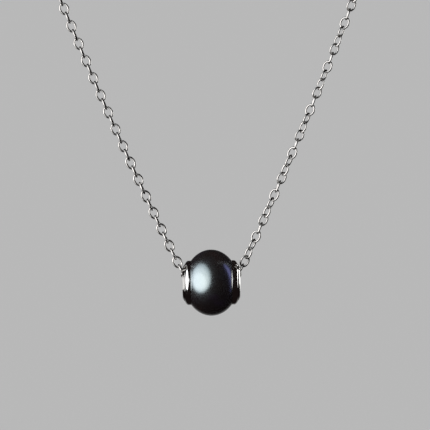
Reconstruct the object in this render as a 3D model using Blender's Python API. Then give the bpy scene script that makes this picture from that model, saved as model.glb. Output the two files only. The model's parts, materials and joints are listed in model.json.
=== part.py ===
"""Slider pearl on an oval cable chain, hung up by the nape as a closed loop.

Metres, +Z up. The loop lies in the XZ plane and is seen from -Y. The origin is the middle of the
clasp line at the nape. Right means +X.
"""

import math

import bmesh
import bpy
from mathutils import Vector

MM = 0.001
RIGHT, LEFT = 1, -1

# pearl: a drilled ellipsoid, flattened along its bore
PEARL_DIAMETER = 10.5 * MM
PEARL_LENGTH = 8.66 * MM
DRILL_CLEARANCE = 0.1 * MM

# core: a tube through the pearl, with rolled lips that hold a domed cap against each end
BORE_DIAMETER = 4.8 * MM
CORE_WALL = 0.25 * MM
LIP_DIAMETER = 5.8 * MM
LIP_HEIGHT = 0.15 * MM
CAP_DIAMETER = 7.04 * MM
CAP_RIM = 0.35 * MM
CAP_RISE = 1.1 * MM
SEAT_GAP = 0.05 * MM

# chain
PITCH = 1.45 * MM
WIRE = 0.3 * MM
LINK_WIDTH = 1.58 * MM
LINK_GAP = 0.08 * MM
BEAD_LINK_GAP = 0.03 * MM
RUN_GAP = 0.2 * MM
MOUTH_GAP = 0.12 * MM
BORE_GAP = 0.2 * MM
MOUTH_INSET = 0.2 * MM
LOOSE_LINKS = 14
STRAND_RUNS = 4
STRAND_RUN_LINKS = 19
NECK_RUNS = 3
NECK_RUN_LINKS = 20
RIGHT_HALF_TURNS = 9

# hang: the strands' lean at the bead, and the length of chain that weighs as much as half the bead
MOUTH_LEAN = math.radians(25.0)
HALF_BEAD_AS_CHAIN = 213.0 * MM

# clasp and rings
RING_DIAMETER = 4.0 * MM
RING_WIRE = 0.6 * MM
RING_GAP = 0.3 * MM
RING_CUT = math.radians(3.0)
CLASP_THICKNESS = 1.9 * MM
HOOK_LENGTH = 7.4 * MM
HOOK_HEIGHT = 5.6 * MM
HOOK_WALL = 1.15 * MM
HOOK_REACH = 4.18 * MM
LEVER_HEEL = math.radians(150.0)
LEVER_THICKNESS = 0.85 * MM
LEVER_CLEARANCE = 0.08 * MM
LEVER_TIP_GAP = 0.35 * MM
LEVER_BOSS_DIAMETER = 1.6 * MM
LEVER_NUB = 0.7 * MM
PIN_DIAMETER = 0.6 * MM
PIN_CLEARANCE = 0.04 * MM
BLOCK_LENGTH = 4.0 * MM
BLOCK_HEIGHT = 3.9 * MM
BLOCK_CORNER = 0.5 * MM
SLOT_FLOOR = 0.45 * MM
EYE_DIAMETER = 2.7 * MM
EYE_HOLE_DIAMETER = 1.5 * MM
EYE_THICKNESS = 1.2 * MM
EYE_OVERLAP = 0.5 * MM
SPRING_STRIP = 0.12 * MM
SPRING_LENGTH = 2.0 * MM
SPRING_BEND = 0.5 * MM
SPRING_END_GAP = 0.5 * MM

# step in thickness between two joined shapes, so that their faces never lie in one plane
JOIN_STEP = 0.04 * MM

# facets
TURNED_SEGMENTS = 32
PEARL_RINGS = 11
CAP_RINGS = 5
LIP_RINGS = 5
SEAT_RINGS = 3
LINK_POINTS = 10
WIRE_SIDES = 6
RING_POINTS = 20
ARC_POINTS = 22
CORNER_POINTS = 4
SHARP_ANGLE = math.radians(40.0)

# sizes that follow from those above
WIRE_RADIUS = WIRE / 2
SEAT = WIRE_RADIUS + LINK_GAP / 2
BEAD_SEAT = WIRE_RADIUS + BEAD_LINK_GAP / 2
RUN_SEAT = WIRE_RADIUS + RUN_GAP / 2
MOUTH_SEAT = WIRE_RADIUS + MOUTH_GAP / 2
RING_RADIUS = (RING_DIAMETER - RING_WIRE) / 2
RING_SEAT = RING_WIRE / 2 + RING_GAP
BORE_RADIUS = BORE_DIAMETER / 2
TUBE_RADIUS = BORE_RADIUS + CORE_WALL
DRILL_RADIUS = TUBE_RADIUS + DRILL_CLEARANCE
STRAND_LINKS = LOOSE_LINKS + STRAND_RUNS * STRAND_RUN_LINKS
HALF_LINKS = STRAND_LINKS + NECK_RUNS * NECK_RUN_LINKS
ODD_TURN = HALF_LINKS % 2 * math.pi / 2
BOW = (LINK_WIDTH - WIRE) / 2
HALF_SPINE = PITCH / 2 + SEAT
BEAD_PITCH = 2 * (HALF_SPINE - BEAD_SEAT)

# fold at the bead's mouth: the pull is half way between the two links, and meets the core's link aslant
FOLD = (math.pi / 2 - MOUTH_LEAN) / 2
FOLD_TURN = math.atan(math.tan(FOLD) * BOW / HALF_SPINE)
FOLD_ALONG = HALF_SPINE * (1 - math.cos(FOLD_TURN))
FOLD_ACROSS = BOW * math.sin(FOLD_TURN)
MOUTH_SLACK = SEAT - MOUTH_SEAT * math.cos(FOLD)
BEAD_SLACK = BEAD_SEAT - MOUTH_SEAT * math.cos(FOLD) - FOLD_ALONG

# bead stations along its bore, counted from its middle
CAP_SEAT_X = PEARL_LENGTH / 2 * math.sqrt(1 - (CAP_DIAMETER / PEARL_DIAMETER) ** 2)
CAP_RIM_X = CAP_SEAT_X + SEAT_GAP + CAP_RIM
LIP_X = CAP_RIM_X + CAP_RISE * math.sqrt(1 - (2 * TUBE_RADIUS / CAP_DIAMETER) ** 2) + SEAT_GAP
LIP_CROWN_X = LIP_X + LIP_HEIGHT

# links through the core: the fewest that bring the fold near enough to the lip's crown to clear it
BEAD_LINKS = math.ceil(2 * (LIP_CROWN_X - MOUTH_INSET - BEAD_SLACK) / BEAD_PITCH)
MOUTH_X = BEAD_LINKS * BEAD_PITCH / 2 + BEAD_SLACK
HALF_LENGTH = HALF_LINKS * PITCH + MOUTH_SLACK
CHAIN_ABOVE_AXIS = BORE_RADIUS - LINK_WIDTH / 2 - BORE_GAP

# clasp stations along its own line, counted from the middle of the hook
HOOK_INNER_LENGTH = HOOK_LENGTH - 2 * HOOK_WALL
HOOK_INNER_HEIGHT = HOOK_HEIGHT - 2 * HOOK_WALL
BLOCK_RIGHT = -HOOK_INNER_LENGTH / 2 + HOOK_WALL / 2
BLOCK_LEFT = BLOCK_RIGHT - BLOCK_LENGTH
EYE_X = BLOCK_LEFT - EYE_DIAMETER / 2 + EYE_OVERLAP
RING_HOLE_RADIUS = RING_RADIUS - RING_WIRE / 2
HOOK_GRIP = math.sqrt(RING_HOLE_RADIUS**2 - (CLASP_THICKNESS / 2) ** 2) - RUN_GAP / 2
EYE_GRIP = math.sqrt(RING_HOLE_RADIUS**2 - (EYE_THICKNESS / 2) ** 2) - RUN_GAP / 2
HOOK_RING_X = HOOK_INNER_LENGTH / 2 + HOOK_GRIP
EYE_RING_X = EYE_X - EYE_HOLE_DIAMETER / 2 - EYE_GRIP
RIGHT_END = HOOK_RING_X + RING_RADIUS - RING_SEAT
LEFT_END = EYE_RING_X - RING_RADIUS + RING_SEAT
CLASP_REACH = (RIGHT_END - LEFT_END) / 2
CLASP_SHIFT = -(RIGHT_END + LEFT_END) / 2

# halvings of the search for the strands' length, enough for full precision
HALVINGS = 60


# The loop's route


def strand(s):
    """Run, rise and lean of a hanging strand at length s above the bead's mouth."""
    pull = HALF_BEAD_AS_CHAIN * math.tan(MOUTH_LEAN)
    load = HALF_BEAD_AS_CHAIN + s
    run = pull * (math.asinh(load / pull) - math.asinh(HALF_BEAD_AS_CHAIN / pull))
    rise = math.hypot(pull, load) - math.hypot(pull, HALF_BEAD_AS_CHAIN)
    return run, rise, math.atan2(pull, load)


def neck_curve(hang):
    """Radius, centre height above the mouth and lean where a strand of length hang meets the neck."""
    run, rise, lean = strand(hang)
    radius = (MOUTH_X + run) / math.cos(lean)
    return radius, rise + radius * math.sin(lean), lean


def clasp_angle(radius):
    """Half of the neck curve's angle that the clasp bridges."""
    return math.asin(min(1.0, CLASP_REACH / radius))


def hanging_length():
    """Length of each strand for which the whole chain just reaches the clasp."""
    low, high = 0.0, HALF_LENGTH
    for _ in range(HALVINGS):
        hang = (low + high) / 2
        radius, _, lean = neck_curve(hang)
        around = radius * (math.pi / 2 + lean - clasp_angle(radius))
        if hang + around < HALF_LENGTH:
            low = hang
        else:
            high = hang
    return low


HANG = hanging_length()
NECK_RADIUS, NECK_RISE, NECK_LEAN = neck_curve(HANG)
MOUTH_Z = -(NECK_RISE + NECK_RADIUS * math.cos(clasp_angle(NECK_RADIUS)))
BEAD_Z = MOUTH_Z - CHAIN_ABOVE_AXIS


def route(s, side):
    """Point on one half of the loop and the chain's direction there, at length s from the mouth."""
    if s < HANG:
        run, rise, lean = strand(s)
        point = (side * (MOUTH_X + run), 0, MOUTH_Z + rise)
        return Vector(point), Vector((side * math.sin(lean), 0, math.cos(lean)))
    turn = (s - HANG) / NECK_RADIUS - NECK_LEAN
    out = Vector((side * math.cos(turn), 0, math.sin(turn)))
    centre = Vector((0, 0, MOUTH_Z + NECK_RISE))
    return centre + NECK_RADIUS * out, Vector((-side * math.sin(turn), 0, math.cos(turn)))


def contact(k, side):
    """Where link k of one half hooks the link below it, and the direction of pull there."""
    if k == 0:
        point, pull = route(0, side)
        return point, (pull + Vector((side, 0, 0))).normalized()
    return route(k * PITCH + MOUTH_SLACK, side)


def across(pull, angle):
    """Unit vector square to the pull, at an angle from the loop's plane."""
    flat = Vector((pull.z, 0, -pull.x))
    return flat * math.cos(angle) + Vector((0, math.sin(angle), 0))


def strand_twist(side):
    """Extra turn for each link of a hanging strand: the right one is twisted, and an odd link evens out."""
    half_turns = RIGHT_HALF_TURNS if side == RIGHT else 0
    return (half_turns * math.pi + ODD_TURN) / STRAND_LINKS


def link_angle(k, side):
    """Turn of link k's flat about the chain: edge-on at the mouth, then a quarter turn a link."""
    return (k + 1) * math.pi / 2 + min(k, STRAND_LINKS) * strand_twist(side)


# Objects


def make_material(name, colour, metallic, roughness):
    material = bpy.data.materials.new(name)
    material.use_nodes = True
    shader = material.node_tree.nodes["Principled BSDF"]
    shader.inputs["Base Color"].default_value = (*colour, 1.0)
    shader.inputs["Metallic"].default_value = metallic
    shader.inputs["Roughness"].default_value = roughness
    return material


def make_object(name, bm, origin, material):
    """One named piece from a mesh in world coordinates, with its origin where it turns."""
    bmesh.ops.recalc_face_normals(bm, faces=bm.faces)
    bmesh.ops.translate(bm, verts=bm.verts, vec=-origin)
    mesh = bpy.data.meshes.new(name)
    bm.to_mesh(mesh)
    bm.free()
    mesh.shade_smooth()
    mesh.set_sharp_from_angle(angle=SHARP_ANGLE)
    piece = bpy.data.objects.new(name, mesh)
    piece.location = origin
    bpy.context.scene.collection.objects.link(piece)
    if material:
        mesh.materials.append(material)
    return piece


def make_cutter(name, bm, origin):
    cutter = make_object(name, bm, origin, None)
    cutter.hide_render = True
    cutter.display_type = "WIRE"
    return cutter


def cut(piece, cutter, operation="DIFFERENCE"):
    modifier = piece.modifiers.new(cutter.name, "BOOLEAN")
    modifier.operation = operation
    modifier.solver = "EXACT"
    modifier.object = cutter


# Shapes


def skin(rings, closed):
    """Mesh of quads through equal rings of points, closed round or with flat ends."""
    bm = bmesh.new()
    rows = [[bm.verts.new(p) for p in ring] for ring in rings]
    pairs = list(zip(rows, rows[1:]))
    if closed:
        pairs.append((rows[-1], rows[0]))
    else:
        bm.faces.new(rows[0])
        bm.faces.new(rows[-1])
    for row, after in pairs:
        for i in range(len(row)):
            bm.faces.new((row[i - 1], row[i], after[i], after[i - 1]))
    return bm


def turned(profile, centre):
    """A closed profile of (along X, radius) points turned about an X axis through centre."""
    rings = []
    for i in range(TURNED_SEGMENTS):
        turn = 2 * math.pi * i / TURNED_SEGMENTS
        c, s = math.cos(turn), math.sin(turn)
        rings.append([centre + Vector((x, r * c, r * s)) for x, r in profile])
    return skin(rings, closed=True)


def prism(outline, thickness, centre):
    """An outline of (x, z) points from centre, with an equal thickness on each side along Y."""
    rings = []
    for y in (-thickness / 2, thickness / 2):
        rings.append([centre + Vector((x, y, z)) for x, z in outline])
    return skin(rings, closed=False)


def arc(length, height, start, stop, points=ARC_POINTS, middle=(0, 0)):
    """Points along part of an ellipse of that length and height."""
    turns = [start + (stop - start) * i / (points - 1) for i in range(points)]
    x, z = middle
    return [(x + length / 2 * math.cos(t), z + height / 2 * math.sin(t)) for t in turns]


def disc(diameter, middle=(0, 0), sides=ARC_POINTS):
    return arc(diameter, diameter, 0, 2 * math.pi, sides + 1, middle)[:-1]


# Bead


def pearl_x(radius):
    """Half length of the pearl at a radius from its bore's axis."""
    return PEARL_LENGTH / 2 * math.sqrt(1 - (2 * radius / PEARL_DIAMETER) ** 2)


def cap_x(radius):
    """Height of a cap's dome at a radius from the bore's axis."""
    return CAP_RIM_X + CAP_RISE * math.sqrt(1 - (2 * radius / CAP_DIAMETER) ** 2)


def steps(start, stop, count):
    return [start + (stop - start) * i / (count - 1) for i in range(count)]


def pearl_profile():
    edge = math.asin(2 * DRILL_RADIUS / PEARL_DIAMETER)
    return arc(PEARL_LENGTH, PEARL_DIAMETER, edge, math.pi - edge, PEARL_RINGS)


def cap_profile(side):
    hole = TUBE_RADIUS + SEAT_GAP
    rim = CAP_DIAMETER / 2
    under = [(pearl_x(r) + SEAT_GAP, r) for r in steps(hole, rim, SEAT_RINGS)]
    dome_end = math.asin(hole / rim)
    over = arc(2 * CAP_RISE, CAP_DIAMETER, math.pi / 2, dome_end, CAP_RINGS, (CAP_RIM_X, 0))
    return [(side * x, r) for x, r in under + over]


def core_profile():
    """Tube with a rolled lip at each mouth: its foot follows the cap and its face rolls into the bore."""
    lip = LIP_DIAMETER / 2
    foot = [(cap_x(r) + SEAT_GAP, r) for r in steps(TUBE_RADIUS, lip, SEAT_RINGS)]
    roll = (LIP_X, (lip + BORE_RADIUS) / 2)
    face = arc(2 * LIP_HEIGHT, lip - BORE_RADIUS, math.pi / 2, -math.pi / 2, LIP_RINGS, roll)
    half = foot + face
    return half + [(-x, r) for x, r in reversed(half)]


def build_bead(nacre, silver):
    centre = Vector((0, 0, BEAD_Z))
    make_object("pearl", turned(pearl_profile(), centre), centre, nacre)
    make_object("core_tube", turned(core_profile(), centre), centre, silver)
    make_object("left_cap", turned(cap_profile(LEFT), centre), centre, silver)
    make_object("right_cap", turned(cap_profile(RIGHT), centre), centre, silver)


# Chain

# corners of the square wire that joined links have, in turn
SQUARE = ((1, 1), (1, -1), (-1, -1), (-1, 1))


def link(low, high, wide):
    """One oval wire link between the middles of its two end bends, with its width along wide.

    An edge of the wire faces inwards all round, so that crossing links meet edge to edge.
    """
    middle, half = (low + high) / 2, (high - low) / 2
    thick = half.cross(wide).normalized()
    bow = wide * BOW
    section = disc(WIRE, sides=WIRE_SIDES)
    rings = []
    for i in range(LINK_POINTS):
        turn = 2 * math.pi * i / LINK_POINTS
        spine = middle + half * math.cos(turn) + bow * math.sin(turn)
        out = half.normalized() * math.cos(turn) + wide * math.sin(turn)
        rings.append([spine + u * out + v * thick for u, v in section])
    return skin(rings, closed=True)


def seat(k):
    """From contact k to the middle of a wire: wider at the bead's mouth and where a joined run ends."""
    if k == 0:
        return MOUTH_SEAT
    return SEAT if k < LOOSE_LINKS else RUN_SEAT


def build_loose_links(side, name, silver):
    for k in range(LOOSE_LINKS):
        (foot, foot_pull), (head, head_pull) = contact(k, side), contact(k + 1, side)
        low = foot - foot_pull * seat(k)
        high = head + head_pull * seat(k + 1)
        wide = across((head - foot).normalized(), link_angle(k, side))
        make_object(f"{name}_link_{k + 1:02d}", link(low, high, wide), head, silver)


def mouth_tip(side):
    """Middle of the outer bend of the core's last link, where the strand's first link pulls on it."""
    fold, pull = contact(0, side)
    return fold + pull * MOUTH_SEAT + Vector((side * FOLD_ALONG, 0, -FOLD_ACROSS))


def build_bead_links(silver):
    """Links through the core, twisted evenly so that the link at each mouth is edge-on."""
    along = Vector((1, 0, 0))
    start = -BEAD_LINKS * BEAD_PITCH / 2
    inner = [Vector((start + BEAD_PITCH * i, 0, MOUTH_Z)) for i in range(1, BEAD_LINKS)]
    lows = [mouth_tip(LEFT), *(point - along * BEAD_SEAT for point in inner)]
    highs = [*(point + along * BEAD_SEAT for point in inner), mouth_tip(RIGHT)]
    odd_turn = math.pi / 2 if BEAD_LINKS % 2 == 0 else 0.0
    twist = odd_turn / (BEAD_LINKS + 1)
    for i, (low, high) in enumerate(zip(lows, highs)):
        wide = across(along, math.pi / 2 + (i + 1) * (math.pi / 2 + twist))
        fold = Vector((0, 0, MOUTH_Z))
        make_object(f"bead_link_{i + 1}", link(low, high, wide), fold, silver)


def chain_run(first, count, side):
    """Links as one solid, joined where they touch, with a free bend at each end for its neighbours."""
    bm = bmesh.new()
    last = first + count
    # a block where two links touch, or half of one where a run ends
    corners = {}
    for k in range(first, last + 1):
        point, pull = contact(k, side)
        tall = (WIRE_RADIUS + SEAT) * pull
        if k in (first, last):
            tall = WIRE_RADIUS * pull
            point = point + (RUN_SEAT if k == last else -RUN_SEAT) * pull
        turn = (link_angle(k - 1, side) + link_angle(k, side) + math.pi / 2) / 2
        a, b = across(pull, turn) * WIRE_RADIUS, across(pull, turn + math.pi / 2) * WIRE_RADIUS
        for i, j in SQUARE:
            for up in (1, -1):
                corners[k, i, j, up] = bm.verts.new(point + i * a + j * b + up * tall)
        for up in (1, -1):
            bm.faces.new([corners[k, i, j, up] for i, j in SQUARE])
    for s in (1, -1):
        bm.faces.new([corners[first, t, s, up] for up, t in SQUARE])
        bm.faces.new([corners[last, s, t, up] for up, t in SQUARE])
    # two bowed wires a link, each from the flank of one block to the flank of the next
    for k in range(first, last):
        (foot, _), (head, _) = contact(k, side), contact(k + 1, side)
        pull = (head - foot).normalized()
        wide = across(pull, link_angle(k, side))
        thick = across(pull, link_angle(k, side) + math.pi / 2) * WIRE_RADIUS
        bow = wide * BOW
        for s in (1, -1):
            spine = (foot + head) / 2 + s * bow
            rows = (
                [corners[k, s, t, -u] for u, t in SQUARE],
                [bm.verts.new(spine + s * u * WIRE_RADIUS * wide + t * thick) for u, t in SQUARE],
                [corners[k + 1, t, -s, u] for u, t in SQUARE],
            )
            for row, after in zip(rows, rows[1:]):
                for i in range(len(row)):
                    bm.faces.new((row[i - 1], row[i], after[i], after[i - 1]))
    return bm


def build_runs(side, name, silver):
    """Runs up the strand and round the neck, each turning at its upper end."""
    first = LOOSE_LINKS
    for i in range(STRAND_RUNS):
        head, _ = contact(first + STRAND_RUN_LINKS, side)
        run = chain_run(first, STRAND_RUN_LINKS, side)
        make_object(f"{name}_strand_run_{i + 1}", run, head, silver)
        first += STRAND_RUN_LINKS
    for i in range(NECK_RUNS):
        head, _ = contact(first + NECK_RUN_LINKS, side)
        run = chain_run(first, NECK_RUN_LINKS, side)
        make_object(f"{name}_neck_run_{i + 1}", run, head, silver)
        first += NECK_RUN_LINKS


# Clasp


def build_jump_ring(name, x, cut_at, silver):
    """A flat ring with its butted cut, lying square to the clasp."""
    centre = Vector((x + CLASP_SHIFT, 0, 0))
    rings = []
    for turn in steps(cut_at + RING_CUT / 2, cut_at + 2 * math.pi - RING_CUT / 2, RING_POINTS + 1):
        out = Vector((math.cos(turn), math.sin(turn), 0))
        section = disc(RING_WIRE, sides=WIRE_SIDES)
        rings.append([centre + out * (RING_RADIUS + u) + Vector((0, 0, v)) for u, v in section])
    make_object(name, skin(rings, closed=False), centre, silver)


def lever_pivot():
    x = (HOOK_LENGTH - HOOK_WALL) / 2 * math.cos(LEVER_HEEL)
    z = (HOOK_HEIGHT - HOOK_WALL) / 2 * math.sin(LEVER_HEEL)
    return x, z


def tip_angle(length, height, reach):
    """Where an oval edge comes that near to the lever's pin, so that tips clear each other as it turns."""
    x, z = lever_pivot()
    low, high = 0.0, math.pi / 2
    for _ in range(HALVINGS):
        turn = (low + high) / 2
        if math.hypot(length / 2 * math.cos(turn) - x, height / 2 * math.sin(turn) - z) > reach:
            low = turn
        else:
            high = turn
    return low


def hook_band(inset, reach, heel):
    """The hook's oval band between its tip and the heel, narrowed by an inset on both edges."""
    outer = (HOOK_LENGTH - 2 * inset, HOOK_HEIGHT - 2 * inset)
    inner = (HOOK_INNER_LENGTH + 2 * inset, HOOK_INNER_HEIGHT + 2 * inset)
    return arc(*outer, tip_angle(*outer, reach), heel) + arc(*inner, heel, tip_angle(*inner, reach))


def rounded_block(left, right, low, high, corner):
    """A rectangle with round corners."""
    middles = (
        (right - corner, high - corner, 0.0),
        (left + corner, high - corner, 0.5),
        (left + corner, low + corner, 1.0),
        (right - corner, low + corner, 1.5),
    )
    points = []
    for x, z, turn in middles:
        start, stop = turn * math.pi, (turn + 0.5) * math.pi
        points += arc(2 * corner, 2 * corner, start, stop, CORNER_POINTS, (x, z))
    return points


def build_clasp_body(silver):
    centre = Vector((CLASP_SHIFT, 0, 0))
    pivot = lever_pivot()
    hook = hook_band(0.0, HOOK_REACH, LEVER_HEEL - 2 * math.pi)
    body = make_object("clasp_body", prism(hook, CLASP_THICKNESS, centre), centre, silver)
    half = BLOCK_HEIGHT / 2
    block = rounded_block(BLOCK_LEFT, BLOCK_RIGHT, -half, half, BLOCK_CORNER)
    block_thickness = CLASP_THICKNESS + 2 * JOIN_STEP
    cut(body, make_cutter("clasp_block", prism(block, block_thickness, centre), centre), "UNION")
    eye = disc(EYE_DIAMETER, (EYE_X, 0))
    cut(body, make_cutter("clasp_eye", prism(eye, EYE_THICKNESS, centre), centre), "UNION")
    through = 2 * block_thickness
    hole = disc(EYE_HOLE_DIAMETER, (EYE_X, 0))
    cut(body, make_cutter("clasp_eye_hole", prism(hole, through, centre), centre))
    slot_left = pivot[0] - LEVER_BOSS_DIAMETER / 2 - SPRING_BEND - SPRING_END_GAP
    slot_floor = -half + SLOT_FLOOR
    slot = [(slot_left, slot_floor), (0, slot_floor), (0, HOOK_HEIGHT), (slot_left, HOOK_HEIGHT)]
    slot_width = LEVER_THICKNESS + 2 * LEVER_CLEARANCE
    cut(body, make_cutter("clasp_slot", prism(slot, slot_width, centre), centre))
    pin_hole = disc(PIN_DIAMETER + 2 * PIN_CLEARANCE, pivot)
    cut(body, make_cutter("clasp_pin_hole", prism(pin_hole, through, centre), centre))


def build_lever(silver):
    """Gate of the claw: it turns inwards on its pin, pressed at the nub."""
    centre = Vector((CLASP_SHIFT, 0, 0))
    pivot = lever_pivot()
    origin = centre + Vector((pivot[0], 0, pivot[1]))
    gate = hook_band(LEVER_CLEARANCE, HOOK_REACH - LEVER_TIP_GAP, LEVER_HEEL)
    lever = make_object("clasp_lever", prism(gate, LEVER_THICKNESS, centre), origin, silver)
    boss = disc(LEVER_BOSS_DIAMETER, pivot)
    boss_thickness = LEVER_THICKNESS - JOIN_STEP
    cut(lever, make_cutter("lever_boss", prism(boss, boss_thickness, centre), centre), "UNION")
    nub_turn = (tip_angle(HOOK_LENGTH, HOOK_HEIGHT, HOOK_REACH) + LEVER_HEEL) / 2
    nub_x = (HOOK_LENGTH - HOOK_WALL) / 2 * math.cos(nub_turn)
    nub = disc(2 * LEVER_NUB, (nub_x, HOOK_HEIGHT / 2))
    nub_thickness = LEVER_THICKNESS + JOIN_STEP
    cut(lever, make_cutter("lever_nub", prism(nub, nub_thickness, centre), centre), "UNION")
    hole = disc(PIN_DIAMETER + 2 * PIN_CLEARANCE, pivot)
    cut(lever, make_cutter("lever_hole", prism(hole, CLASP_THICKNESS, centre), centre))
    pin = prism(disc(PIN_DIAMETER, pivot), CLASP_THICKNESS, centre)
    make_object("clasp_lever_pin", pin, origin, silver)


def build_spring(steel):
    """Bent strip under the lever: one leg on the slot's floor, the other up against the gate."""
    centre = Vector((CLASP_SHIFT, 0, 0))
    x, z = lever_pivot()
    floor = -BLOCK_HEIGHT / 2 + SLOT_FLOOR + SEAT_GAP
    bend_x = x - LEVER_BOSS_DIAMETER / 2 - SPRING_BEND
    top = z - LEVER_BOSS_DIAMETER / 2 - SEAT_GAP
    mid = (floor + top) / 2
    strip = [
        (bend_x, mid - SPRING_STRIP),
        (bend_x + SPRING_LENGTH, floor),
        (bend_x + SPRING_LENGTH, floor + SPRING_STRIP),
        (bend_x + 2 * SPRING_STRIP, mid),
        (bend_x + SPRING_LENGTH, top - SPRING_STRIP),
        (bend_x + SPRING_LENGTH, top),
        (bend_x, mid + SPRING_STRIP),
    ]
    make_object("clasp_spring", prism(strip, LEVER_THICKNESS, centre), centre, steel)


def main():
    for old in list(bpy.data.objects):
        bpy.data.objects.remove(old)
    nacre = make_material("dark nacre", (0.018, 0.016, 0.022), 0.0, 0.18)
    silver = make_material("polished silver", (0.82, 0.82, 0.84), 1.0, 0.1)
    steel = make_material("spring steel", (0.45, 0.45, 0.46), 1.0, 0.3)
    build_bead(nacre, silver)
    build_bead_links(silver)
    for side, name in ((LEFT, "left"), (RIGHT, "right")):
        build_loose_links(side, name, silver)
        build_runs(side, name, silver)
    build_jump_ring("hook_ring", HOOK_RING_X, math.pi / 2, silver)
    build_jump_ring("eye_ring", EYE_RING_X, math.pi / 2, silver)
    build_clasp_body(silver)
    build_lever(silver)
    build_spring(steel)


main()
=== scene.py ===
"""Looks of a slider pearl on a silver cable chain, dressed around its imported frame.

Metres, +Z up. The closed loop hangs in the XZ plane and is seen from -Y. Right means +X.
"""

import json
import math

import bmesh
import bpy
from mathutils import Matrix, Vector, noise

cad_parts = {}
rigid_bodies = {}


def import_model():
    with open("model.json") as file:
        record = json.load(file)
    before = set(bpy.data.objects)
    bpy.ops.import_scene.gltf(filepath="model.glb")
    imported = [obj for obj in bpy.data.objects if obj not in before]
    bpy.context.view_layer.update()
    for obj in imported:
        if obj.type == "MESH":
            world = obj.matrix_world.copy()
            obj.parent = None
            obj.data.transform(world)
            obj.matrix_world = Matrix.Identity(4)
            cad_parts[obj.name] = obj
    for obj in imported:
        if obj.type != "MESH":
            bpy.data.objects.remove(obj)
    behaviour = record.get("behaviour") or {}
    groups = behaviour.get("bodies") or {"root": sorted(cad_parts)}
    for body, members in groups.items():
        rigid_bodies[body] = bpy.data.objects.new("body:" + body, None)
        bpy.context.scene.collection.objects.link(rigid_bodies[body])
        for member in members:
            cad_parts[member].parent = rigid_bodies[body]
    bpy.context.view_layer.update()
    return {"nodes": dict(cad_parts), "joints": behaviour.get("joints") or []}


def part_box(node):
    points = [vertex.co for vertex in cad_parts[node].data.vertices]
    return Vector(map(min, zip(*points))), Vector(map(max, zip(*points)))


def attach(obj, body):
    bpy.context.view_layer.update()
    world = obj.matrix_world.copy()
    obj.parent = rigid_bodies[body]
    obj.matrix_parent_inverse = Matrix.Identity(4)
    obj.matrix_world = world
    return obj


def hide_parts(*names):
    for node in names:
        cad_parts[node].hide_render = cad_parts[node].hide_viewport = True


for old in list(bpy.data.objects):
    bpy.data.objects.remove(old)
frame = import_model()

MM = 0.001
RIGHT, LEFT = 1, -1
SIDES = ((LEFT, "left"), (RIGHT, "right"))

# chain
PITCH = 1.45 * MM
WIRE = 0.3 * MM
LINK_WIDTH = 1.58 * MM
BEAD_LINKS = 6
BEAD_PITCH = 1.5 * MM
LOOSE_LINKS = 14
STRAND_RUNS = 4
STRAND_RUN_LINKS = 19
NECK_RUNS = 3
NECK_RUN_LINKS = 20
RIGHT_HALF_TURNS = 9

# play where a link hooks a link of another body
LINK_GAP = 0.08 * MM
RUN_GAP = 0.2 * MM
MOUTH_GAP = 0.12 * MM

# hang: where the chain leaves the core and its lean there, the length of chain that weighs half the bead,
# how far the clasp reaches from the middle, and the halvings that find where strand and neck meet
MOUTH_X = 4.409 * MM
MOUTH_SLACK = 0.013 * MM
MOUTH_LEAN = math.radians(25.0)
HALF_BEAD_AS_CHAIN = 213.0 * MM
CLASP_REACH = 7.209 * MM
HALVINGS = 60

# core, caps and pearl
PEARL_LENGTH = 8.66 * MM
CORE_WALL = 0.25 * MM
BORE_DIAMETER = 4.8 * MM
CAP_RIM = 0.35 * MM
CAP_RISE = 1.1 * MM
CAP_EDGE = 0.06 * MM
LIP_EDGE = 0.02 * MM
SEAT_GAP = 0.03 * MM
DRILL_CLEARANCE = 0.1 * MM
DRILL_CHAMFER = 0.12 * MM
PEARL_UNEVENNESS = 0.01 * MM
PEARL_SWELL = 4.5 * MM

# clasp
RING_WIRE = 0.6 * MM
RING_CUT = math.radians(2.0)
CLASP_VOXEL = 0.08 * MM
TUMBLES, TUMBLE_RUB = 10, 0.5
EYE_LENGTH = 2.2 * MM
HEEL_HEIGHT = 3.9 * MM
HEEL_CORNER = 1.25 * MM
PIN_HEAD = 0.12 * MM

# facets: first the bends round a link and the sides round its wire, for close links and for runs
FINE_FACETS = (20, 8)
RUN_FACETS = (12, 6)
TURNED_SEGMENTS = 96
PROFILE_POINTS = 9
DOME_POINTS = 25
BAND_POINTS = 8
PEARL_POINTS = 49
RING_POINTS = 49
RING_SIDES = 14
PIN_SEGMENTS = 24
SHARP_ANGLE = math.radians(35.0)
WELD = 0.0001 * MM

# finishes: the size of their marks, how deep and how strong their relief is, and the rolled lines' stretch
RUB_MARK = 0.12 * MM
RUB_DEPTH, RUB_RELIEF = 0.01 * MM, 0.08
ROLLING_LINE = 0.08 * MM
ROLLING_STRETCH = (0.1, 1.0, 0.1)
NACRE_CLOUD = 4.0 * MM
NACRE_LAYER = 0.5 * MM
NACRE_SMOOTHEST, NACRE_ROUGHEST = 0.22, 0.27
LAYER_DEPTH, LAYER_RELIEF = 0.02 * MM, 0.02
PAPER_FIBRE = 1.5 * MM

# a noise texture's usual values, and the colour sockets of a Mix node
NOISE_LOW, NOISE_HIGH = 0.3, 0.7
MIX_A, MIX_B, MIX_RESULT = 6, 7, 2

# photograph
CAMERA_DISTANCE = 300.0 * MM
CAMERA_ELEVATION = math.radians(10.0)
CAMERA_ROLL = math.radians(-0.71)
FOCUS_RIGHT = 0.718 * MM
FOCUS_ABOVE_PEARL = 10.87 * MM
FRAME_WIDTH = 67.7 * MM
SENSOR_MM = 36.0
CLIP_START = 3.0 * MM

# studio: the floor, then the backdrop's direction and, as a cosine from it, where it fades to a dark room
FLOOR_RADIUS = 8.0
FLOOR_Z = -0.42
BACKDROP_WAY = (0.0, 0.94, -0.34)
BACKDROP_FADE = 0.85

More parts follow.
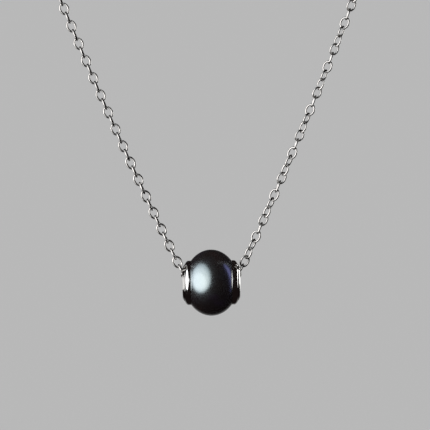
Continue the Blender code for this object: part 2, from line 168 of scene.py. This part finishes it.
# softboxes: degrees right of front and up, metres away, width, height, radiance, colour, what they light
SOFTBOXES = (
    ("window", -57, 21, 0.4, 0.98, 0.76, 2.1, "#F4FAFF", "all"),
    ("window_low", -58, 16, 0.39, 0.77, 0.56, 1.3, "#FFF7F5", "all"),
    ("window_sill", -59, 10, 0.38, 0.5, 0.35, 1.3, "#FFF7F5", "all"),
    ("left_back", -126, -7, 0.5, 0.26, 0.18, 1.0, "#FFFFFF", "all"),
    ("chain_glint", -126, -7, 0.5, 0.26, 0.18, 1.0, "#FFFFFF", "chain"),
    ("right_strip", 107, 11, 0.5, 0.14, 0.58, 1.1, "#B9B3FA", "pearl"),
    ("right_back", 141, -5, 0.5, 0.34, 0.2, 3.0, "#FFFFFF", "all"),
    ("chain_fill", -60, -22, 0.3, 0.3, 0.24, 3.2, "#FFFFFF", "chain"),
)
CHAIN_PIECES = ("strand_", "neck_chain", "jump_", "cast_", "riveted_")

# sizes that follow
WIRE_RADIUS = WIRE / 2
BOW = (LINK_WIDTH - WIRE) / 2
HALF_SPINE = (PITCH + WIRE + LINK_GAP) / 2
STRAND_LINKS = LOOSE_LINKS + STRAND_RUNS * STRAND_RUN_LINKS
RUN_ENDS = range(LOOSE_LINKS, STRAND_LINKS + 1, STRAND_RUN_LINKS)
HALF_LINKS = STRAND_LINKS + NECK_RUNS * NECK_RUN_LINKS
HALF_LENGTH = HALF_LINKS * PITCH + MOUTH_SLACK
RIGHT_TWIST = RIGHT_HALF_TURNS * math.pi / STRAND_LINKS
FOLD = (math.pi / 2 - MOUTH_LEAN) / 2
FOLD_TURN = math.atan(math.tan(FOLD) * BOW / HALF_SPINE)
FOLD_ALONG = HALF_SPINE * (1 - math.cos(FOLD_TURN))
FOLD_ACROSS = BOW * math.sin(FOLD_TURN)


def joint_place(name):
    return Vector(next(j["pos_m"] for j in frame["joints"] if j["name"] == name))


MOUTH_Z = joint_place("bead_chain_swing").z
BEAD_CENTRE = Vector((0, 0, joint_place("bead_spin").z))


# The loop's route, as the frame has it


def strand(s):
    """Run, rise and lean of a hanging strand at length s above the bead's mouth."""
    pull = HALF_BEAD_AS_CHAIN * math.tan(MOUTH_LEAN)
    load = HALF_BEAD_AS_CHAIN + s
    run = pull * (math.asinh(load / pull) - math.asinh(HALF_BEAD_AS_CHAIN / pull))
    rise = math.hypot(pull, load) - math.hypot(pull, HALF_BEAD_AS_CHAIN)
    return run, rise, math.atan2(pull, load)


def neck_curve(hang):
    """Radius, centre height above the mouth and lean where a strand of length hang meets the neck."""
    run, rise, lean = strand(hang)
    radius = (MOUTH_X + run) / math.cos(lean)
    return radius, rise + radius * math.sin(lean), lean


def hanging_length():
    """Length of each strand for which the whole chain just reaches the clasp."""
    low, high = 0.0, HALF_LENGTH
    for _ in range(HALVINGS):
        hang = (low + high) / 2
        radius, _, lean = neck_curve(hang)
        clasp_angle = math.asin(min(1.0, CLASP_REACH / radius))
        if hang + radius * (math.pi / 2 + lean - clasp_angle) < HALF_LENGTH:
            low = hang
        else:
            high = hang
    return low


HANG = hanging_length()
NECK_RADIUS, NECK_RISE, NECK_LEAN = neck_curve(HANG)


def route(s, side):
    """Point on one half of the loop and the chain's direction there, at length s from the mouth."""
    if s < HANG:
        run, rise, lean = strand(s)
        point = (side * (MOUTH_X + run), 0, MOUTH_Z + rise)
        return Vector(point), Vector((side * math.sin(lean), 0, math.cos(lean)))
    turn = (s - HANG) / NECK_RADIUS - NECK_LEAN
    out = Vector((side * math.cos(turn), 0, math.sin(turn)))
    centre = Vector((0, 0, MOUTH_Z + NECK_RISE))
    return centre + NECK_RADIUS * out, Vector((-side * math.sin(turn), 0, math.cos(turn)))


def contact(k, side):
    """Where link k of one half hooks the link below it, and the direction of pull there."""
    if k == 0:
        point, pull = route(0, side)
        return point, (pull + Vector((side, 0, 0))).normalized()
    return route(k * PITCH + MOUTH_SLACK, side)


def across(pull, angle):
    """Unit vector square to the pull, at an angle from the loop's plane."""
    flat = Vector((pull.z, 0, -pull.x))
    return flat * math.cos(angle) + Vector((0, math.sin(angle), 0))


def seat(k):
    """From contact k to the middle of a wire: links of one body touch there, and others have play."""
    if k == 0:
        return WIRE_RADIUS + MOUTH_GAP / 2
    if k < LOOSE_LINKS:
        return WIRE_RADIUS + LINK_GAP / 2
    if k in RUN_ENDS:
        return WIRE_RADIUS + RUN_GAP / 2
    return WIRE_RADIUS


def strand_link(k, side):
    """Ends of a link's spine and its width's direction: edge-on at the mouth, then a quarter turn each."""
    (foot, foot_pull), (head, head_pull) = contact(k, side), contact(k + 1, side)
    twist = RIGHT_TWIST if side == RIGHT else 0.0
    angle = (k + 1) * math.pi / 2 + min(k, STRAND_LINKS) * twist
    low, high = foot - foot_pull * seat(k), head + head_pull * seat(k + 1)
    return low, high, across((high - low).normalized(), angle)


def core_link(i):
    """The same for the links through the core, twisted evenly so that both mouths have an edge-on link."""
    along = Vector((1, 0, 0))
    start = Vector((-BEAD_LINKS * BEAD_PITCH / 2, 0, MOUTH_Z))
    ends = []
    for k, side in ((i, LEFT), (i + 1, RIGHT)):
        if k in (0, BEAD_LINKS):
            fold, pull = contact(0, side)
            ends.append(fold + pull * seat(0) + Vector((side * FOLD_ALONG, 0, -FOLD_ACROSS)))
        else:
            ends.append(start + along * (k * BEAD_PITCH + side * WIRE_RADIUS))
    twist = math.pi / 2 / (BEAD_LINKS + 1)
    return *ends, across(along, math.pi / 2 + (i + 1) * (math.pi / 2 + twist))


# Materials


def linear(hexadecimal):
    """An sRGB hex colour as linear RGBA."""
    parts = [int(hexadecimal[i : i + 2], 16) / 255 for i in (1, 3, 5)]
    return (*((c / 12.92 if c <= 0.04045 else ((c + 0.055) / 1.055) ** 2.4) for c in parts), 1.0)


def add(tree, kind, inputs=None, **settings):
    """A node with its settings; each input is a value or another node's output."""
    node = tree.nodes.new(kind)
    for name, value in settings.items():
        setattr(node, name, value)
    for name, value in (inputs or {}).items():
        if isinstance(value, bpy.types.NodeSocket):
            tree.links.new(value, node.inputs[name])
        else:
            node.inputs[name].default_value = value
    return node


def new_material(name):
    material = bpy.data.materials.new(name)
    material.use_nodes = True
    tree = material.node_tree
    return material, tree, tree.nodes["Principled BSDF"]


def per_metre(mark):
    """Texture scale for a pattern with marks that wide."""
    return 1.0 / mark


def silver(name, dull, bright, patch, smoothest, roughest):
    """Sterling silver: a bright neutral metal, dulled in patches of that size and rubbed all over."""
    material, tree, shader = new_material(name)
    place = add(tree, "ShaderNodeTexCoord").outputs["Object"]
    wear = add(
        tree,
        "ShaderNodeTexNoise",
        {"Vector": place, "Scale": per_metre(patch), "Detail": 3.0},
    ).outputs["Fac"]
    tone = add(
        tree,
        "ShaderNodeMix",
        {"Factor": wear, MIX_A: linear(dull), MIX_B: linear(bright)},
        data_type="RGBA",
    ).outputs[MIX_RESULT]
    finish = add(
        tree,
        "ShaderNodeMapRange",
        {
            "Value": wear,
            "From Min": NOISE_LOW,
            "From Max": NOISE_HIGH,
            "To Min": smoothest,
            "To Max": roughest,
        },
    ).outputs["Result"]
    # rubbing marks, drawn some times coarser than real ones so that they show
    marks = add(
        tree,
        "ShaderNodeTexNoise",
        {"Vector": place, "Scale": per_metre(RUB_MARK), "Detail": 2.0},
    ).outputs["Fac"]
    relief = add(
        tree,
        "ShaderNodeBump",
        {"Height": marks, "Strength": RUB_RELIEF, "Distance": RUB_DEPTH},
    ).outputs["Normal"]
    tree.links.new(tone, shader.inputs["Base Color"])
    tree.links.new(finish, shader.inputs["Roughness"])
    tree.links.new(relief, shader.inputs["Normal"])
    shader.inputs["Metallic"].default_value = 1.0
    return material


def polished_silver():
    """Turned and polished: a clear mirror, with faint patches from handling."""
    return silver(
        "polished_silver",
        dull="#D3D1CE",
        bright="#F0EFEC",
        patch=0.8 * MM,
        smoothest=0.05,
        roughest=0.13,
    )


def drawn_silver():
    """Drawn wire, soldered and left satin: greyer than the polished pieces, with soft broad glints."""
    return silver(
        "drawn_silver",
        dull="#918F8C",
        bright="#ADABA8",
        patch=0.6 * MM,
        smoothest=0.18,
        roughest=0.26,
    )


def tumbled_silver():
    """Cast and tumbled in shot: bright, with edges worn round and no sharp reflections."""
    return silver(
        "tumbled_silver",
        dull="#BDBBB8",
        bright="#DAD8D5",
        patch=0.5 * MM,
        smoothest=0.34,
        roughest=0.38,
    )


def spring_steel():
    """Rolled spring steel strip: grey, with the fine lines of rolling along its length."""
    material, tree, shader = new_material("spring_steel")
    place = add(tree, "ShaderNodeTexCoord").outputs["Object"]
    # rolling lines, drawn some times coarser than real ones so that they show
    stretched = add(tree, "ShaderNodeMapping", {"Vector": place, "Scale": ROLLING_STRETCH})
    lines = add(
        tree,
        "ShaderNodeTexNoise",
        {"Vector": stretched.outputs["Vector"], "Scale": per_metre(ROLLING_LINE)},
    ).outputs["Fac"]
    tone = add(
        tree,
        "ShaderNodeMix",
        {"Factor": lines, MIX_A: linear("#8B8C8E"), MIX_B: linear("#B4B5B8")},
        data_type="RGBA",
    ).outputs[MIX_RESULT]
    tree.links.new(tone, shader.inputs["Base Color"])
    shader.inputs["Metallic"].default_value = 1.0
    shader.inputs["Roughness"].default_value = 0.3
    return material


def dark_nacre():
    """Dark nacre, grown in thin clear layers: near black, a soft mirror with blue to violet overtones."""
    material, tree, shader = new_material("dark_nacre")
    place = add(tree, "ShaderNodeTexCoord").outputs["Object"]
    clouds = add(
        tree,
        "ShaderNodeTexNoise",
        {"Vector": place, "Scale": per_metre(NACRE_CLOUD), "Detail": 2.0},
    ).outputs["Fac"]
    body = add(tree, "ShaderNodeValToRGB", {"Fac": clouds})
    tones = ((NOISE_LOW, "#150A08"), (0.45, "#0E0706"), (0.58, "#0C0608"), (NOISE_HIGH, "#120714"))
    ramp = body.color_ramp.elements
    for position, _ in tones[len(ramp) :]:
        ramp.new(position)
    for element, (position, colour) in zip(ramp, tones):
        element.position = position
        element.color = linear(colour)
    # growth lines of the layers, drawn some times coarser than real ones so that they show
    layers = add(
        tree,
        "ShaderNodeTexNoise",
        {"Vector": place, "Scale": per_metre(NACRE_LAYER), "Detail": 2.0},
    ).outputs["Fac"]
    grain = add(
        tree,
        "ShaderNodeMapRange",
        {
            "Value": layers,
            "From Min": NOISE_LOW,
            "From Max": NOISE_HIGH,
            "To Min": NACRE_SMOOTHEST,
            "To Max": NACRE_ROUGHEST,
        },
    ).outputs["Result"]
    relief = add(
        tree,
        "ShaderNodeBump",
        {"Height": layers, "Strength": LAYER_RELIEF, "Distance": LAYER_DEPTH},
    ).outputs["Normal"]
    tree.links.new(body.outputs["Color"], shader.inputs["Base Color"])
    tree.links.new(grain, shader.inputs["Roughness"])
    tree.links.new(relief, shader.inputs["Normal"])
    # many layers together reflect more than one surface would, so these are above the shell's own index
    shader.inputs["IOR"].default_value = 2.6
    shader.inputs["Thin Film Thickness"].default_value = 107.0
    shader.inputs["Thin Film IOR"].default_value = 2.3
    shader.inputs["Coat Weight"].default_value = 0.6
    shader.inputs["Coat Roughness"].default_value = 0.2
    return material


# Meshes


def finished(name, mesh, body, slot, *nodes):
    """A piece at the origin that rides on a body and stands for its CAD nodes. The slot argument is not
    used.
    """
    piece = bpy.data.objects.new(name, mesh)
    bpy.context.scene.collection.objects.link(piece)
    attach(piece, body)
    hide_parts(*nodes)


def smooth_mesh(name, bm, material):
    """A mesh of one material, welded and facing outwards, and smooth but for its sharp edges."""
    bmesh.ops.remove_doubles(bm, verts=bm.verts, dist=WELD)
    bmesh.ops.delete(bm, geom=[e for e in bm.edges if not e.link_faces], context="EDGES")
    bmesh.ops.recalc_face_normals(bm, faces=bm.faces)
    mesh = bpy.data.meshes.new(name)
    bm.to_mesh(mesh)
    bm.free()
    mesh.shade_smooth()
    mesh.set_sharp_from_angle(angle=SHARP_ANGLE)
    mesh.materials.append(material)
    return mesh


def skin(rings, closed):
    """Quads through equal rings of points, closed round or with flat ends."""
    bm = bmesh.new()
    rows = [[bm.verts.new(p) for p in ring] for ring in rings]
    pairs = list(zip(rows, rows[1:]))
    if closed:
        pairs.append((rows[-1], rows[0]))
    else:
        bm.faces.new(rows[0])
        bm.faces.new(rows[-1])
    for row, after in pairs:
        for i in range(len(row)):
            bm.faces.new((row[i - 1], row[i], after[i], after[i - 1]))
    return bm


def turned(profile, centre, along=Vector((1, 0, 0)), segments=TURNED_SEGMENTS):
    """A closed profile of (along, radius) points turned about an axis through centre."""
    u = along.orthogonal().normalized()
    v = along.cross(u)
    rings = []
    for i in range(segments):
        turn = 2 * math.pi * i / segments
        out = u * math.cos(turn) + v * math.sin(turn)
        rings.append([centre + along * x + out * r for x, r in profile])
    return skin(rings, closed=True)


def steps(start, stop, count):
    """Even steps from start to stop, with both ends."""
    return [start + (stop - start) * i / (count - 1) for i in range(count)]


def arc(middle, length, height, start, stop, count=PROFILE_POINTS):
    """Points along part of an ellipse of that length and height."""
    x, r = middle
    turns = steps(start, stop, count)
    return [(x + length / 2 * math.cos(t), r + height / 2 * math.sin(t)) for t in turns]


# Bead


def size(node):
    low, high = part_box(node)
    return high - low


PEARL_DIAMETER = size("pearl").z
CAP_DIAMETER = size("left_cap").z
LIP_DIAMETER = size("core_tube").z
LIP_CROWN = size("core_tube").x / 2
TUBE_RADIUS = BORE_DIAMETER / 2 + CORE_WALL


def pearl_x(radius):
    """Half length of the pearl at a radius from its bore's axis."""
    return PEARL_LENGTH / 2 * math.sqrt(1 - (2 * radius / PEARL_DIAMETER) ** 2)


def cap_x(radius):
    """Height of a cap's dome at a radius from the bore's axis."""
    rim = pearl_x(CAP_DIAMETER / 2) + SEAT_GAP + CAP_RIM
    return rim + CAP_RISE * math.sqrt(1 - (2 * radius / CAP_DIAMETER) ** 2)


def make_pearl(nacre):
    """Drilled ellipsoid with broken drill edges and a grown pearl's slight unevenness."""
    drill = TUBE_RADIUS + DRILL_CLEARANCE
    edge = math.asin(2 * (drill + DRILL_CHAMFER) / PEARL_DIAMETER)
    profile = arc((0, 0), PEARL_LENGTH, PEARL_DIAMETER, edge, math.pi - edge, PEARL_POINTS)
    mouth = profile[0][0] - DRILL_CHAMFER
    bm = turned([(mouth, drill), *profile, (-mouth, drill)], BEAD_CENTRE)
    for vert in bm.verts:
        away = vert.co - BEAD_CENTRE
        swell = noise.noise(away / PEARL_SWELL)
        vert.co += away.normalized() * PEARL_UNEVENNESS * (swell - 1)
    finished("nacre_pearl", smooth_mesh("nacre_pearl", bm, nacre), "bead", "nacre", "pearl")


def make_caps(metal):
    """Domed washers with a narrow upright rim, seated against the pearl."""
    hole = TUBE_RADIUS + SEAT_GAP
    rim = CAP_DIAMETER / 2
    inner = rim - CAP_EDGE
    foot = pearl_x(rim) + SEAT_GAP
    under = [(pearl_x(r) + SEAT_GAP, r) for r in steps(hole, inner, PROFILE_POINTS)]
    low = arc((foot + CAP_EDGE, inner), 2 * CAP_EDGE, 2 * CAP_EDGE, math.pi, math.pi / 2)
    band = [(x, rim) for x in steps(foot + CAP_EDGE, cap_x(rim), BAND_POINTS)][1:-1]
    turns = steps(math.pi / 2, math.asin(hole / rim), DOME_POINTS)
    over = [(cap_x(rim * math.sin(t)), rim * math.sin(t)) for t in turns]
    for side, name in SIDES:
        profile = [(side * x, r) for x, r in under + low + band + over]
        mesh = smooth_mesh(f"{name}_collar", turned(profile, BEAD_CENTRE), metal)
        finished(f"{name}_collar", mesh, "bead", "silver", f"{name}_cap")


def make_core(metal):
    """Tube whose ends are burnished over the caps to a thin edge."""
    lip = LIP_DIAMETER / 2
    mouth = BORE_DIAMETER / 2 + LIP_EDGE
    foot = [(cap_x(r) + SEAT_GAP, r) for r in steps(TUBE_RADIUS, lip, PROFILE_POINTS)]
    crown = LIP_CROWN - cap_x(mouth) - SEAT_GAP
    heights = steps(LIP_EDGE, crown, PROFILE_POINTS)
    radii = steps(lip, mouth, PROFILE_POINTS)
    outer = [(cap_x(r) + SEAT_GAP + height, r) for height, r in zip(heights, radii)]
    inner = arc((LIP_CROWN - LIP_EDGE, mouth), 2 * LIP_EDGE, 2 * LIP_EDGE, 0, -math.pi / 2)
    half = foot + outer + inner
    profile = half + [(-x, r) for x, r in reversed(half)]
    mesh = smooth_mesh("rolled_core", turned(profile, BEAD_CENTRE), metal)
    finished("rolled_core", mesh, "bead", "silver", "core_tube")


# Chain


def link_tree():
    """Geometry Nodes: an oval wire link on each point, laid by the point's along and wide directions."""
    tree = bpy.data.node_groups.new("cable_links", "GeometryNodeTree")
    sockets = (
        ("Links", "INPUT", "NodeSocketGeometry"),
        ("Half Length", "INPUT", "NodeSocketFloat"),
        ("Half Width", "INPUT", "NodeSocketFloat"),
        ("Wire Radius", "INPUT", "NodeSocketFloat"),
        ("Bend Points", "INPUT", "NodeSocketInt"),
        ("Wire Sides", "INPUT", "NodeSocketInt"),
        ("Material", "INPUT", "NodeSocketMaterial"),
        ("Chain", "OUTPUT", "NodeSocketGeometry"),
    )
    for name, way, kind in sockets:
        tree.interface.new_socket(name, in_out=way, socket_type=kind)
    given = add(tree, "NodeGroupInput").outputs
    circle = add(
        tree,
        "GeometryNodeCurvePrimitiveCircle",
        {"Resolution": given["Bend Points"], "Radius": 1.0},
    ).outputs["Curve"]
    oval_size = add(
        tree,
        "ShaderNodeCombineXYZ",
        {"X": given["Half Width"], "Y": given["Half Length"], "Z": 1.0},
    ).outputs["Vector"]
    oval = add(tree, "GeometryNodeTransform", {"Geometry": circle, "Scale": oval_size})
    upright = add(
        tree,
        "GeometryNodeSetCurveNormal",
        {"Curve": oval.outputs["Geometry"]},
        mode="Z_UP",
    ).outputs["Curve"]
    section = add(
        tree,
        "GeometryNodeCurvePrimitiveCircle",
        {"Resolution": given["Wire Sides"], "Radius": given["Wire Radius"]},
    ).outputs["Curve"]
    link = add(tree, "GeometryNodeCurveToMesh", {"Curve": upright, "Profile Curve": section})
    along = add(
        tree, "GeometryNodeInputNamedAttribute", {"Name": "along"}, data_type="FLOAT_VECTOR"
    ).outputs["Attribute"]
    wide = add(
        tree, "GeometryNodeInputNamedAttribute", {"Name": "wide"}, data_type="FLOAT_VECTOR"
    ).outputs["Attribute"]
    lie = add(
        tree,
        "FunctionNodeAxesToRotation",
        {"Primary Axis": along, "Secondary Axis": wide},
        primary_axis="Y",
        secondary_axis="X",
    ).outputs["Rotation"]
    half = add(tree, "ShaderNodeVectorMath", {0: along}, operation="LENGTH").outputs["Value"]
    stretch = add(tree, "ShaderNodeMath", {0: half, 1: given["Half Length"]}, operation="DIVIDE")
    length = add(
        tree, "ShaderNodeCombineXYZ", {"X": 1.0, "Y": stretch.outputs["Value"], "Z": 1.0}
    ).outputs["Vector"]
    laid = add(
        tree,
        "GeometryNodeInstanceOnPoints",
        {
            "Points": given["Links"],
            "Instance": link.outputs["Mesh"],
            "Rotation": lie,
            "Scale": length,
        },
    ).outputs["Instances"]
    real = add(tree, "GeometryNodeRealizeInstances", {"Geometry": laid}).outputs["Geometry"]
    smooth = add(tree, "GeometryNodeSetShadeSmooth", {"Geometry": real}).outputs["Geometry"]
    finish = add(
        tree, "GeometryNodeSetMaterial", {"Geometry": smooth, "Material": given["Material"]}
    ).outputs["Geometry"]
    add(tree, "NodeGroupOutput", {"Chain": finish})
    return tree


def link_points(links):
    """One vertex in the middle of each link, with its half spine and its width's direction."""
    mesh = bpy.data.meshes.new("link_points")
    mesh.from_pydata([(low + high) / 2 for low, high, _ in links], [], [])
    for name, vectors in (
        ("along", [(high - low) / 2 for low, high, _ in links]),
        ("wide", [wide for _, _, wide in links]),
    ):
        attribute = mesh.attributes.new(name, "FLOAT_VECTOR", "POINT")
        attribute.data.foreach_set("vector", [c for vector in vectors for c in vector])
    return mesh


def make_links(name, tree, links, facets, metal, body, nodes):
    """The links of one body as one plain mesh."""
    holder = bpy.data.objects.new(name + "_points", link_points(links))
    bpy.context.scene.collection.objects.link(holder)
    modifier = holder.modifiers.new("links", "NODES")
    modifier.node_group = tree
    bends, sides = facets
    values = {
        "Half Length": HALF_SPINE,
        "Half Width": BOW,
        "Wire Radius": WIRE_RADIUS,
        "Bend Points": bends,
        "Wire Sides": sides,
        "Material": metal,
    }
    for socket in tree.interface.items_tree:
        if socket.name in values:
            modifier[socket.identifier] = values[socket.name]
    bpy.context.view_layer.update()
    made = holder.evaluated_get(bpy.context.evaluated_depsgraph_get())
    mesh = bpy.data.meshes.new_from_object(made)
    mesh.name = name
    for attribute in ("along", "wide"):
        mesh.attributes.remove(mesh.attributes[attribute])
    bpy.data.objects.remove(holder)
    finished(name, mesh, body, "silver", *nodes)


def make_chain(metal):
    """Links through the core, single links beside the pearl, then runs up the strands and round."""
    tree = link_tree()
    core = [core_link(i) for i in range(BEAD_LINKS)]
    nodes = [f"bead_link_{i + 1}" for i in range(BEAD_LINKS)]
    make_links("core_links", tree, core, FINE_FACETS, metal, "bead_chain", nodes)
    for k in range(LOOSE_LINKS):
        links = [strand_link(k, side) for side, _ in SIDES]
        nodes = [f"{name}_link_{k + 1:02d}" for _, name in SIDES]
        body = f"links_{k + 1:02d}"
        make_links(f"strand_links_{k + 1:02d}", tree, links, FINE_FACETS, metal, body, nodes)
    for i in range(STRAND_RUNS):
        run = range(RUN_ENDS[i], RUN_ENDS[i + 1])
        links = [strand_link(k, side) for side, _ in SIDES for k in run]
        nodes = [f"{name}_strand_run_{i + 1}" for _, name in SIDES]
        body = f"strand_runs_{i + 1}"
        make_links(f"strand_chain_{i + 1}", tree, links, RUN_FACETS, metal, body, nodes)
    links = [strand_link(k, side) for side, _ in SIDES for k in range(STRAND_LINKS, HALF_LINKS)]
    nodes = [f"{name}_neck_run_{i + 1}" for _, name in SIDES for i in range(NECK_RUNS)]
    make_links("neck_chain", tree, links, RUN_FACETS, metal, "neck_loop", nodes)


# Clasp


def make_ring(node, metal):
    """A round wire ring with its butted cut."""
    low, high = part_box(node)
    centre = (low + high) / 2
    thick = RING_WIRE / 2
    radius = (high.x - low.x) / 2 - thick
    up = Vector((0, 0, 1))
    round_wire = [2 * math.pi * i / RING_SIDES for i in range(RING_SIDES)]
    cut_at = math.pi / 2
    rings = []
    for turn in steps(cut_at + RING_CUT / 2, cut_at + 2 * math.pi - RING_CUT / 2, RING_POINTS):
        out = Vector((math.cos(turn), math.sin(turn), 0))
        rings.append(
            [centre + out * (radius + thick * math.cos(t)) + up * thick * math.sin(t) for t in round_wire]
        )
    mesh = smooth_mesh(f"jump_{node}", skin(rings, closed=False), metal)
    finished(f"jump_{node}", mesh, node, "silver", node)


def round_heel(bm):
    """Rounds the claw's two corners beside its eye."""
    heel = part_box("clasp_body")[0].x + EYE_LENGTH
    for vert in bm.verts:
        x, y, z = vert.co
        corner = Vector((heel + HEEL_CORNER, y, math.copysign(HEEL_HEIGHT / 2 - HEEL_CORNER, z)))
        away = vert.co - corner
        in_corner = heel - CLASP_VOXEL < x < corner.x and abs(z) > abs(corner.z)
        if in_corner and away.length > HEEL_CORNER:
            vert.co = corner + away * (HEEL_CORNER / away.length)


def make_cast(name, node, body, metal, reshape=None):
    """A cast and tumbled piece: the frame's shape with its edges worn round."""
    holder = bpy.data.objects.new(name + "_blank", frame["nodes"][node].data.copy())
    bpy.context.scene.collection.objects.link(holder)
    remesh = holder.modifiers.new("voxels", "REMESH")
    remesh.mode = "VOXEL"
    remesh.voxel_size = CLASP_VOXEL
    bpy.context.view_layer.update()
    made = holder.evaluated_get(bpy.context.evaluated_depsgraph_get())
    bm = bmesh.new()
    bm.from_mesh(made.data)
    bpy.data.objects.remove(holder)
    if reshape:
        reshape(bm)
    for _ in range(TUMBLES):
        bmesh.ops.smooth_vert(
            bm, verts=bm.verts, factor=TUMBLE_RUB, use_axis_x=True, use_axis_y=True, use_axis_z=True
        )
    finished(name, smooth_mesh(name, bm, metal), body, "silver", node)


def make_pin(metal):
    """Lever pin with riveted heads."""
    low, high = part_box("clasp_lever_pin")
    centre = (low + high) / 2
    radius = (high.z - low.z) / 2
    half = (high.y - low.y) / 2 + PIN_HEAD
    head = arc((half - PIN_HEAD, 0), 2 * PIN_HEAD, 2 * radius, math.pi / 2, 0)
    profile = head + [(-x, r) for x, r in reversed(head)]
    bm = turned(profile, centre, Vector((0, 1, 0)), PIN_SEGMENTS)
    finished("riveted_pin", smooth_mesh("riveted_pin", bm, metal), "clasp", "silver", "clasp_lever_pin")


# Stage


def matt_paper():
    """Pale matt paper: almost even, with the soft mottle of its fibres."""
    material, tree, shader = new_material("matt_paper")
    place = add(tree, "ShaderNodeTexCoord").outputs["Object"]
    fibres = add(
        tree,
        "ShaderNodeTexNoise",
        {"Vector": place, "Scale": per_metre(PAPER_FIBRE)},
    ).outputs["Fac"]
    tone = add(
        tree,
        "ShaderNodeMix",
        {"Factor": fibres, MIX_A: linear("#C6C6C6"), MIX_B: linear("#CCCCCC")},
        data_type="RGBA",
    ).outputs[MIX_RESULT]
    tree.links.new(tone, shader.inputs["Base Color"])
    shader.inputs["Roughness"].default_value = 0.9
    shader.inputs["Specular IOR Level"].default_value = 0.0
    return material


def make_floor():
    """Plain floor, well below the hanging pearl."""
    bm = bmesh.new()
    bmesh.ops.create_circle(bm, cap_ends=True, segments=TURNED_SEGMENTS, radius=FLOOR_RADIUS)
    bmesh.ops.translate(bm, verts=bm.verts, vec=(0, 0, FLOOR_Z))
    mesh = bpy.data.meshes.new("floor")
    bm.to_mesh(mesh)
    bm.free()
    mesh.materials.append(matt_paper())
    floor = bpy.data.objects.new("floor", mesh)
    bpy.context.scene.collection.objects.link(floor)
    # the floor gives no glare on the polished pieces
    floor.visible_glossy = False
    return floor


def make_world():
    """Grey to the eye, a soft fill for the floor, and in reflections a dark room round a grey backdrop."""
    world = bpy.data.worlds.new("studio")
    bpy.context.scene.world = world
    world.use_nodes = True
    tree = world.node_tree
    direction = add(tree, "ShaderNodeTexCoord").outputs["Generated"]
    facing = add(
        tree,
        "ShaderNodeVectorMath",
        {0: direction, 1: BACKDROP_WAY},
        operation="DOT_PRODUCT",
    ).outputs["Value"]
    behind = add(
        tree,
        "ShaderNodeMapRange",
        {"Value": facing, "From Min": BACKDROP_FADE, "From Max": 1.0},
        interpolation_type="SMOOTHSTEP",
    ).outputs["Result"]
    mirrored = add(
        tree,
        "ShaderNodeMix",
        {"Factor": behind, MIX_A: linear("#191313"), MIX_B: linear("#8C8C8C")},
        data_type="RGBA",
    ).outputs[MIX_RESULT]
    path = add(tree, "ShaderNodeLightPath").outputs
    indirect = add(
        tree,
        "ShaderNodeMix",
        {"Factor": path["Is Glossy Ray"], MIX_A: linear("#EAEAEA"), MIX_B: mirrored},
        data_type="RGBA",
    ).outputs[MIX_RESULT]
    seen = add(
        tree,
        "ShaderNodeMix",
        {"Factor": path["Is Camera Ray"], MIX_A: indirect, MIX_B: linear("#999999")},
        data_type="RGBA",
    ).outputs[MIX_RESULT]
    tree.links.new(seen, tree.nodes["Background"].inputs["Color"])


def softbox(name, azimuth, elevation, distance, width, height, radiance, colour, lit):
    """An oval area light, turned to the pearl, that only the lit group sees."""
    a, e = math.radians(azimuth), math.radians(elevation)
    away = Vector((math.sin(a) * math.cos(e), -math.cos(a) * math.cos(e), math.sin(e)))
    light = bpy.data.lights.new(name, "AREA")
    light.shape = "ELLIPSE"
    light.size, light.size_y = width, height
    area = math.pi / 4 * width * height
    light.energy = radiance * math.pi * area
    light.color = linear(colour)[:3]
    lamp = bpy.data.objects.new(name, light)
    lamp.location = BEAD_CENTRE + away * distance
    lamp.rotation_euler = away.to_track_quat("Z", "Y").to_euler()
    lamp.visible_camera = False
    bpy.context.scene.collection.objects.link(lamp)
    lamp.light_linking.receiver_collection = lit


def light_group(name, objects, state):
    """What a softbox reaches: only these objects, or all but these."""
    group = bpy.data.collections.new(name)
    for obj in objects:
        group.objects.link(obj)
    for member in group.collection_objects:
        member.light_linking.link_state = state
    return group


def make_lights(floor):
    """A large soft window front left, small softboxes behind, and lights for pearl or chain alone."""
    pieces = bpy.data.objects
    chain = [piece for piece in pieces if piece.name.startswith(CHAIN_PIECES)]
    groups = {
        "all": light_group("all_but_floor", [floor], "EXCLUDE"),
        "pearl": light_group("pearl_alone", [pieces["nacre_pearl"]], "INCLUDE"),
        "chain": light_group("chain_alone", chain, "INCLUDE"),
    }
    for *settings, lit in SOFTBOXES:
        softbox(*settings, groups[lit])


def make_camera():
    """At the photograph's angle: slightly above, rolled a little, with the pearl low in the frame."""
    data = bpy.data.cameras.new("camera")
    data.sensor_width = SENSOR_MM
    data.lens = SENSOR_MM * CAMERA_DISTANCE / FRAME_WIDTH
    camera = bpy.data.objects.new("camera", data)
    back = Vector((0, -math.cos(CAMERA_ELEVATION), math.sin(CAMERA_ELEVATION)))
    focus = BEAD_CENTRE + Vector((FOCUS_RIGHT, 0, FOCUS_ABOVE_PEARL))
    camera.location = focus + back * CAMERA_DISTANCE
    aim = back.to_track_quat("Z", "Y") @ Matrix.Rotation(CAMERA_ROLL, 3, "Z").to_quaternion()
    camera.rotation_euler = aim.to_euler()
    data.clip_start = CLIP_START
    bpy.context.scene.collection.objects.link(camera)
    bpy.context.scene.camera = camera


def main():
    """The camera, the pieces from the pearl out to the clasp, then the studio round them."""
    polished, drawn, tumbled = polished_silver(), drawn_silver(), tumbled_silver()
    make_camera()
    make_pearl(dark_nacre())
    make_caps(polished)
    make_core(polished)
    make_chain(drawn)
    make_ring("hook_ring", tumbled)
    make_ring("eye_ring", tumbled)
    make_cast("cast_claw", "clasp_body", "clasp", tumbled, round_heel)
    make_cast("cast_lever", "clasp_lever", "lever", tumbled)
    make_pin(tumbled)
    spring = frame["nodes"]["clasp_spring"]
    spring.data.materials.clear()
    spring.data.materials.append(spring_steel())
    make_world()
    make_lights(make_floor())
    bpy.context.scene.view_settings.view_transform = "Standard"


main()
